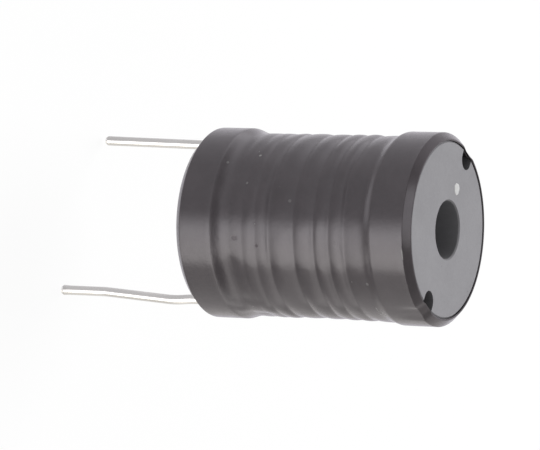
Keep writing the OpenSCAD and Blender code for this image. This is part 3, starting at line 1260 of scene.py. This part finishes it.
class INDUCTOR_OT_leads(bpy.types.Operator):
    """Makes the straight lead and the bent lead"""

    bl_idname = "inductor.leads"
    bl_label = "Leads"

    def execute(self, context):
        s = context.scene.inductor_leads
        tree = lead_tree()
        material = tin_finish(tuple(s.tint))
        lead_r = BODY_R - s.inset - s.wire_d / 2
        inner = [(x, z - s.set_l) for x, z in reversed(root_route(s)) if z > s.set_l]
        for name, node, side, free, pinch in (
            ("lead_straight", "start_lead", -1, straight_route(s), STRAIGHT_PINCH * s.pinch),
            ("lead_bent", "finish_lead", 1, bent_route(s), s.pinch),
        ):
            local = inner + [(x, -z) for x, z in free]
            points = [(side * (lead_r - x), 0, SLEEVE_LOW.z + z) for x, z in local]
            tip_x, _, tip_z = points[-1]
            piece = add_piece(name, chain_mesh(name, points))
            run_tree(piece, tree, {
                "Wire Diameter": s.wire_d,
                "Sides": s.sides,
                "Tip Height": tip_z,
                "Tip X": tip_x,
                "Edge": TIP_EDGE,
                "Pinch": pinch,
                "Pinch Length": s.pinch_l,
                "Pinch Angle": s.pinch_angle,
                "Material": material,
            })
            piece.data.set_sharp_from_angle(angle=WIRE_ANGLE)
            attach(piece, "root")
            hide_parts(node)
        return {"FINISHED"}


class INDUCTOR_OT_inside(bpy.types.Operator):
    """Gives the winding and the solder joints their finishes"""

    bl_idname = "inductor.inside"
    bl_label = "Winding and Joints"

    def execute(self, context):
        solder = solder_finish()
        for name, material in (
            ("winding", enamel_finish()),
            ("start_joint", solder),
            ("finish_joint", solder),
        ):
            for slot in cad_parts[name].material_slots:
                slot.material = material
        return {"FINISHED"}


# Stage

# Camera's sensor in millimetres, and the nearest distance that it sees
SENSOR_W, CLIP_START = 36, 10 * MM
# Gap between the lowest lead and the floor, half the floor's width, its paint, and how much of
# it shows as plain white
FLOOR_GAP, FLOOR_HALF = 0.02 * MM, 1.2
FLOOR_PAINT, FLOOR_WHITE = (0.97, 0.97, 0.97, 1.0), 0.95
# Place and width of the large lamp, in metres
LAMP_PLACE, LAMP_SIZE = (-0.22, 0.2, 0.36), 0.25

# Azimuths in degrees where the studio changes below the horizon, each with half the width of
# its soft edge: far side, shade, panel, bounce, far side
SHADE_START, PANEL_START, PANEL_END, BOUNCE_END = (-106, 4), (25, 13), (77, 4), (136, 4)
# Brightness of each from straight below upwards: its lowest level, then rises, each with the
# two heights of direction between which it comes in and how much it adds
SHADE_LEVELS = (0.62, (-0.85, -0.4, 0.28))
PANEL_LEVELS = (0.15, (-0.95, -0.65, 0.45), (-0.75, -0.35, 0.5))
BOUNCE_LEVELS = (0.3, (-0.85, -0.4, 0.6), (-0.5, -0.1, 0.8))
# The shade's rise near the horizon is stronger at the far end of its azimuths
SHADE_HEIGHTS, SHADE_RISE, SHADE_FAR_RISE, SHADE_FAR = (-0.46, -0.12), 0.3, 0.9, (-95, -35)
# Heights of direction below which it is lighter again, and what that adds
DEEP_HEIGHTS, DEEP_SHADE, DEEP_BOUNCE = (-0.93, -0.8), 0.9, 2.0
# The room above the horizon: its level, what it gains away from the camera, how far round
# that comes in, and the heights of direction over which the room starts
ROOM_LEVEL, ROOM_RISE, ROOM_TURN, HORIZON = 0.38, 0.37, (-0.6, 0.3), (-0.02, 0.2)
# Azimuth and elevation of the light overhead, and the angles from it where it ends and is whole
OVERHEAD, OVERHEAD_EDGE = (2.1, 62.4), (30, 21)
# Tints of the two sides, and the azimuths between which one turns into the other
COOL, WARM, WARM_TURN = (0.995, 0.967, 1.03), (1.02, 0.98, 0.97), (0, 80)


def toward(azimuth, elevation):
    """A direction, from its angle from -Y towards +X and its angle above the horizon."""
    flat = math.cos(elevation)
    return Vector((
        flat * math.sin(azimuth), -flat * math.cos(azimuth), math.sin(elevation)
    ))


def studio_tone(w, s):
    """Brightness and tint of the studio by direction, as they show in gloss: white, with a
    light panel low on one side, shade beside it and a dim room over the camera."""
    direction = w.node("ShaderNodeTexCoord").outputs["Generated"]
    part = w.split(direction)
    z = part["Z"]
    azimuth = w.math("ARCTAN2", part["X"], w.product(part["Y"], -1.0))

    def after(edge, soft):
        """0 before an azimuth and 1 after it, in degrees, with a soft edge."""
        return w.step(azimuth, math.radians(edge - soft), math.radians(edge + soft))

    def levels(lowest, *rises):
        """Brightness by height of direction, from its lowest level and its rises."""
        return w.total(lowest, *(w.product(w.step(z, a, b), gain) for a, b, gain in rises))

    def stretch(a, b, level, slope):
        """What one stretch of azimuths adds to the far side's brightness."""
        return w.product(w.math("SUBTRACT", a, b), w.math("MULTIPLY_ADD", slope, level, -s.back))

    deep = w.fall(z, *DEEP_HEIGHTS)
    far = w.fall(azimuth, *map(math.radians, SHADE_FAR))
    shade_rise = w.math("MULTIPLY_ADD", far, SHADE_FAR_RISE, SHADE_RISE)
    shade = w.total(
        levels(*SHADE_LEVELS),
        w.product(w.step(z, *SHADE_HEIGHTS), shade_rise),
        w.product(deep, DEEP_SHADE),
    )
    bounce = w.math("MULTIPLY_ADD", deep, DEEP_BOUNCE, levels(*BOUNCE_LEVELS))
    shade_start, panel_start = after(*SHADE_START), after(*PANEL_START)
    panel_end, bounce_end = after(*PANEL_END), after(*BOUNCE_END)
    low = w.total(
        s.back,
        stretch(shade_start, panel_start, s.shade, shade),
        stretch(panel_start, panel_end, s.panel, levels(*PANEL_LEVELS)),
        stretch(panel_end, bounce_end, s.bounce, bounce),
    )
    behind = w.vector_math("DOT_PRODUCT", direction, -toward(s.azimuth, s.elevation))
    room = w.math("MULTIPLY_ADD", w.step(behind, *ROOM_TURN), ROOM_RISE, ROOM_LEVEL)
    above = w.vector_math("DOT_PRODUCT", direction, toward(*map(math.radians, OVERHEAD)))
    edges = (math.cos(math.radians(edge)) for edge in OVERHEAD_EDGE)
    high = w.math("MULTIPLY_ADD", w.step(above, *edges), s.overhead, room)
    up = w.step(z, *HORIZON)
    tone = w.math("MULTIPLY_ADD", up, w.math("SUBTRACT", high, low), low)
    return tone, blend(w, w.step(azimuth, *map(math.radians, WARM_TURN)), COOL, WARM)


def ray_kinds(w):
    """1 for rays from the camera, and 1 for those seen in gloss or glass."""
    rays = w.node("ShaderNodeLightPath").outputs
    gloss = w.math("MAXIMUM", rays["Is Glossy Ray"], rays["Is Transmission Ray"])
    return rays["Is Camera Ray"], gloss


def floor_finish():
    """White floor that stays white in view and keeps a soft shadow."""
    material = bpy.data.materials.new("floor_white")
    material.use_nodes = True
    w = Wiring(material.node_tree)
    material.node_tree.nodes.clear()
    paint = w.node("ShaderNodeBsdfDiffuse", {"Color": FLOOR_PAINT})
    white = w.node("ShaderNodeEmission", {"Strength": 1.0})
    seen = w.math("MAXIMUM", *ray_kinds(w))
    mixed = w.node(
        "ShaderNodeMixShader",
        {0: w.product(seen, FLOOR_WHITE), 1: paint.outputs[0], 2: white.outputs[0]},
    )
    w.node("ShaderNodeOutputMaterial", {0: mixed.outputs[0]})
    return material


def add_camera(scene, s):
    """The camera, turned about the point that it looks at."""
    camera = bpy.data.objects.new("camera", bpy.data.cameras.new("camera"))
    camera.data.lens = s.lens
    camera.data.sensor_width = SENSOR_W
    camera.data.sensor_fit = "HORIZONTAL"
    camera.data.clip_start = CLIP_START
    camera.matrix_world = (
        Matrix.Translation(s.target)
        @ Matrix.Rotation(s.azimuth, 4, "Z")
        @ Matrix.Rotation(math.pi / 2 - s.elevation, 4, "X")
        @ Matrix.Rotation(s.roll, 4, "Z")
        @ Matrix.Translation((0, 0, s.distance))
    )
    scene.collection.objects.link(camera)
    scene.camera = camera


def add_floor():
    """The floor under the leads' lowest end."""
    z = FINISH_LOW.z - FLOOR_GAP
    corners = ((-1, -1), (1, -1), (1, 1), (-1, 1))
    mesh = bpy.data.meshes.new("floor")
    mesh.from_pydata([(x * FLOOR_HALF, y * FLOOR_HALF, z) for x, y in corners], [], [(0, 1, 2, 3)])
    mesh.materials.append(floor_finish())
    floor = add_piece("floor", mesh)
    floor.visible_glossy = False


def add_lamp(scene, power):
    """The large lamp, aimed at the middle of the core and hidden from view and gloss."""
    data = bpy.data.lights.new("key_lamp", "AREA")
    data.energy = power
    data.size = LAMP_SIZE
    lamp = bpy.data.objects.new("key_lamp", data)
    lamp.location = LAMP_PLACE
    aim = Vector((0, 0, CORE_HIGH.z / 2)) - Vector(LAMP_PLACE)
    lamp.rotation_euler = aim.to_track_quat("-Z", "Y").to_euler()
    lamp.visible_camera = False
    lamp.visible_glossy = False
    scene.collection.objects.link(lamp)


def add_surroundings(scene, s):
    """White to the camera, an even fill on plain surfaces, and the studio in gloss."""
    world = bpy.data.worlds.new("studio")
    world.use_nodes = True
    w = Wiring(world.node_tree)
    world.node_tree.nodes.clear()
    camera, gloss = ray_kinds(w)
    tone, tint = studio_tone(w, s)
    strength = w.math("MULTIPLY_ADD", gloss, w.math("SUBTRACT", tone, s.fill), s.fill)
    strength = w.math("MAXIMUM", strength, camera)
    seen = blend(w, gloss, (1.0, 1.0, 1.0), tint)
    back = w.node("ShaderNodeBackground", {"Color": seen, "Strength": strength})
    w.node("ShaderNodeOutputWorld", {0: back.outputs[0]})
    scene.world = world


class INDUCTOR_OT_stage(bpy.types.Operator):
    """Sets up the camera, the floor, the lamp and the surroundings"""

    bl_idname = "inductor.stage"
    bl_label = "Stage"

    def execute(self, context):
        scene = context.scene
        s = scene.inductor_stage
        add_camera(scene, s)
        add_floor()
        add_lamp(scene, s.key)
        add_surroundings(scene, s)
        scene.view_settings.view_transform = "Standard"
        return {"FINISHED"}


class INDUCTOR_PT_build(bpy.types.Panel):
    """Lists the inductor's settings and the steps that build it"""

    bl_idname = "INDUCTOR_PT_build"
    bl_label = "Bobbin Inductor"
    bl_space_type = "VIEW_3D"
    bl_region_type = "UI"
    bl_category = "Inductor"

    def draw(self, context):
        for operator in OPERATORS:
            self.layout.operator(operator.bl_idname)
        for name, group in GROUPS.items():
            box = self.layout.box()
            for label in group.__annotations__:
                box.prop(getattr(context.scene, name), label)


OPERATORS = (
    INDUCTOR_OT_stage,
    INDUCTOR_OT_sleeve,
    INDUCTOR_OT_core,
    INDUCTOR_OT_dot,
    INDUCTOR_OT_leads,
    INDUCTOR_OT_inside,
)
GROUPS = {
    "inductor_sleeve": INDUCTOR_PG_sleeve,
    "inductor_core": INDUCTOR_PG_core,
    "inductor_leads": INDUCTOR_PG_leads,
    "inductor_stage": INDUCTOR_PG_stage,
}


def register():
    for cls in (*GROUPS.values(), *OPERATORS, INDUCTOR_PT_build):
        bpy.utils.register_class(cls)
    for name, group in GROUPS.items():
        setattr(bpy.types.Scene, name, PointerProperty(type=group))


def unregister():
    for name in GROUPS:
        delattr(bpy.types.Scene, name)
    for cls in (INDUCTOR_PT_build, *reversed(OPERATORS), *reversed(GROUPS.values())):
        bpy.utils.unregister_class(cls)


def main():
    """Builds the stage and every piece in order."""
    register()
    bpy.ops.inductor.stage()
    bpy.ops.inductor.sleeve()
    bpy.ops.inductor.core()
    bpy.ops.inductor.dot()
    bpy.ops.inductor.leads()
    bpy.ops.inductor.inside()


if __name__ == "__main__":
    main()
